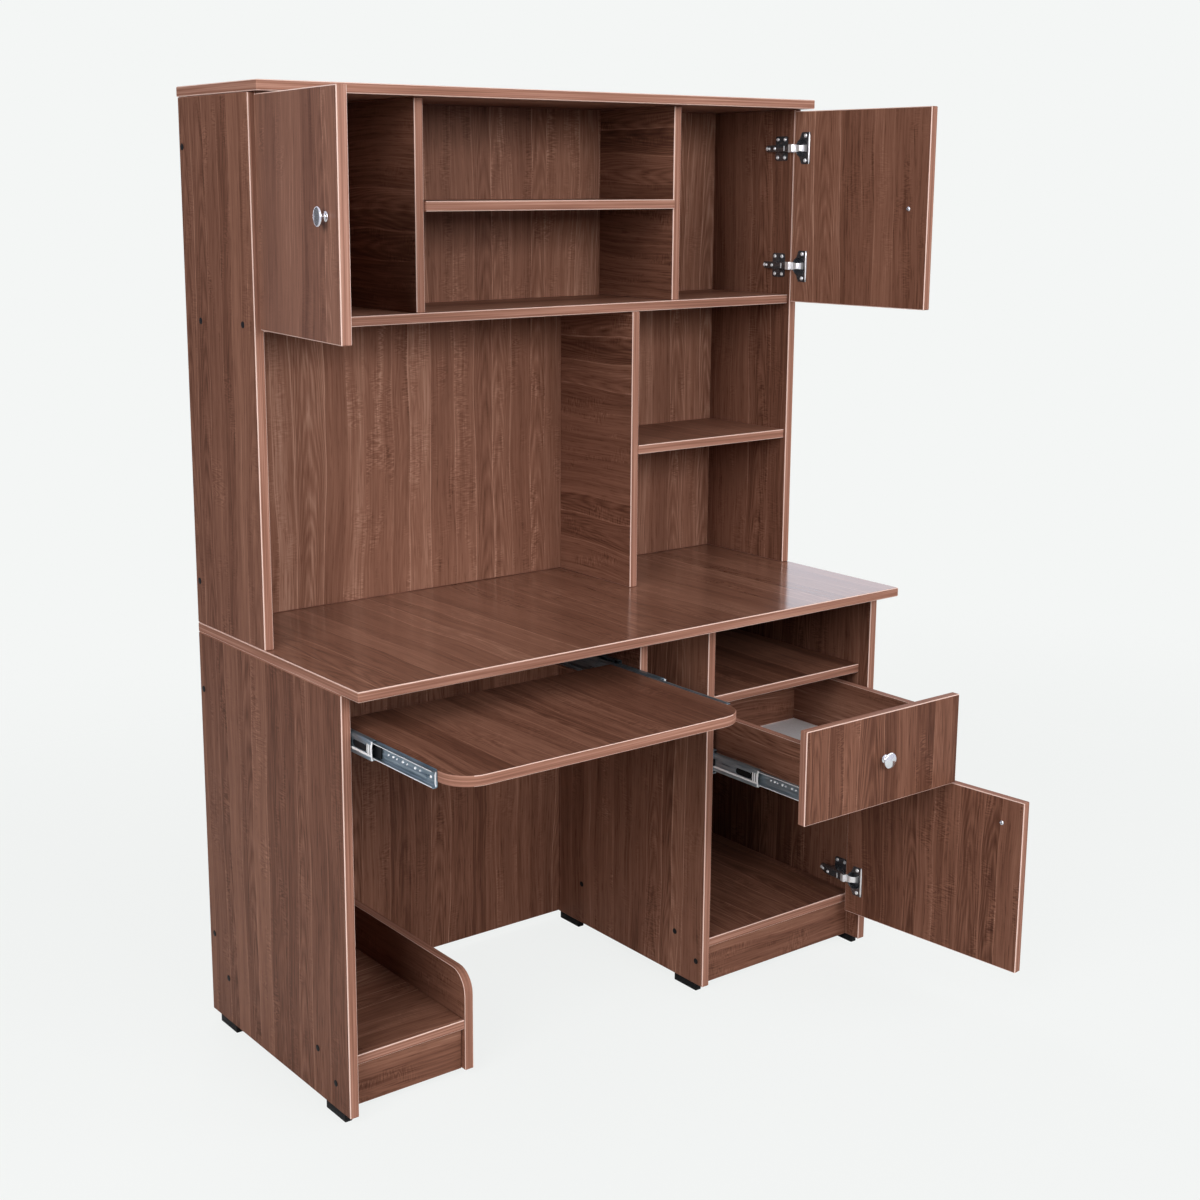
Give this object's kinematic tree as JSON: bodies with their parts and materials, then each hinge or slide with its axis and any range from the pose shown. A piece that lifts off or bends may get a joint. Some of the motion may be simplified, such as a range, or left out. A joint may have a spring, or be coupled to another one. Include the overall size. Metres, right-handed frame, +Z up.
{
  "type": "study desk",
  "caption": "Study desk with a hutch: walnut-look boards, hinged cabinet doors, a drawer and a keyboard tray on ball-bearing slides, a computer bay and open shelves.",
  "frame": {"origin": "on the floor, under the middle of the box that the desk fills as it stands open in the picture", "axes": "+Z up, -Y the front where the user sits, +X to the user's right, on the pedestal's side"},
  "size_m": [1.2907, 0.8735, 1.667],
  "materials": {
    "walnut_board": "satin walnut-look melamine with banded edges",
    "walnut_desktop": "polished walnut-look melamine with banded edges",
    "white_panel": "white laminated drawer bottom",
    "knob_chrome": "polished chrome",
    "hinge_nickel": "bright nickel plate",
    "slide_zinc": "bluish zinc plate",
    "black_plastic": "moulded black plastic"
  },
  "bodies": {
    "carcass": {"base_left_side": "walnut_board", "base_right_side": "walnut_board", "pedestal_left_side": "walnut_board", "base_back": "walnut_board", "desktop": "walnut_desktop", "pedestal_bottom": "walnut_board", "pedestal_plinth": "walnut_board", "pedestal_shelf": "walnut_board", "cpu_shelf": "walnut_board", "cpu_plinth": "walnut_board", "cpu_side_board": "walnut_board", "tray_hanger": "walnut_board", "hutch_left_side": "walnut_board", "hutch_right_side": "walnut_board", "hutch_top": "walnut_board", "hutch_back": "walnut_board", "hutch_long_shelf": "walnut_board", "hutch_left_divider": "walnut_board", "hutch_right_divider": "walnut_board", "hutch_centre_shelf": "walnut_board", "hutch_tall_divider": "walnut_board", "hutch_right_shelf": "walnut_board", "left_door_upper_hinge_arm": "hinge_nickel", "left_door_lower_hinge_arm": "hinge_nickel", "right_door_upper_hinge_arm": "hinge_nickel", "right_door_lower_hinge_arm": "hinge_nickel", "lower_door_upper_hinge_arm": "hinge_nickel", "lower_door_lower_hinge_arm": "hinge_nickel", "drawer_left_slide_outer": "slide_zinc", "drawer_right_slide_outer": "slide_zinc", "tray_left_slide_outer": "slide_zinc", "tray_right_slide_outer": "slide_zinc"},
    "left_door": {"left_door": "walnut_board", "left_door_knob": "knob_chrome", "left_door_upper_hinge_cup": "hinge_nickel", "left_door_lower_hinge_cup": "hinge_nickel"},
    "right_door": {"right_door": "walnut_board", "right_door_knob": "knob_chrome", "right_door_upper_hinge_cup": "hinge_nickel", "right_door_lower_hinge_cup": "hinge_nickel"},
    "lower_door": {"lower_door": "walnut_board", "lower_door_knob": "knob_chrome", "lower_door_upper_hinge_cup": "hinge_nickel", "lower_door_lower_hinge_cup": "hinge_nickel"},
    "drawer": {"drawer_front": "walnut_board", "drawer_left_side": "walnut_board", "drawer_right_side": "walnut_board", "drawer_back": "walnut_board", "drawer_bottom": "white_panel", "drawer_knob": "knob_chrome", "drawer_left_slide_inner": "slide_zinc", "drawer_right_slide_inner": "slide_zinc"},
    "drawer_slide_middles": {"drawer_left_slide_middle": "slide_zinc", "drawer_right_slide_middle": "slide_zinc"},
    "keyboard_tray": {"keyboard_tray": "walnut_board", "tray_left_slide_inner": "slide_zinc", "tray_right_slide_inner": "slide_zinc"},
    "tray_slide_middles": {"tray_left_slide_middle": "slide_zinc", "tray_right_slide_middle": "slide_zinc"}
  },
  "joints": [
    {"name": "left_door_hinge", "type": "hinge", "parent": "carcass", "child": "left_door", "pos_m": [-0.58187, 0.17059, 1.463], "axis": [0, 0, -1], "range_deg": [-97, 8]},
    {"name": "right_door_hinge", "type": "hinge", "parent": "carcass", "child": "right_door", "pos_m": [0.59663, 0.17059, 1.463], "axis": [0, 0, 1], "range_deg": [-94, 11]},
    {"name": "lower_door_hinge", "type": "hinge", "parent": "carcass", "child": "lower_door", "pos_m": [0.57663, -0.05341, 0.24325], "axis": [0, 0, 1], "range_deg": [-96, 9]},
    {"name": "drawer_slide", "type": "slide", "parent": "carcass", "child": "drawer", "axis": [0, -1, 0], "range_m": [-0.233, 0.167]},
    {"name": "drawer_slide_middle", "type": "slide", "parent": "carcass", "child": "drawer_slide_middles", "axis": [0, -1, 0], "range_m": [-0.1165, 0.0835]},
    {"name": "tray_slide", "type": "slide", "parent": "carcass", "child": "keyboard_tray", "axis": [0, -1, 0], "range_m": [-0.24, 0.11]},
    {"name": "tray_slide_middle", "type": "slide", "parent": "carcass", "child": "tray_slide_middles", "axis": [0, -1, 0], "range_m": [-0.12, 0.055]}
  ],
  "couplings": [
    {"joint": "drawer_slide_middle", "follows": "drawer_slide", "ratio": 0.5},
    {"joint": "tray_slide_middle", "follows": "tray_slide", "ratio": 0.5}
  ]
}
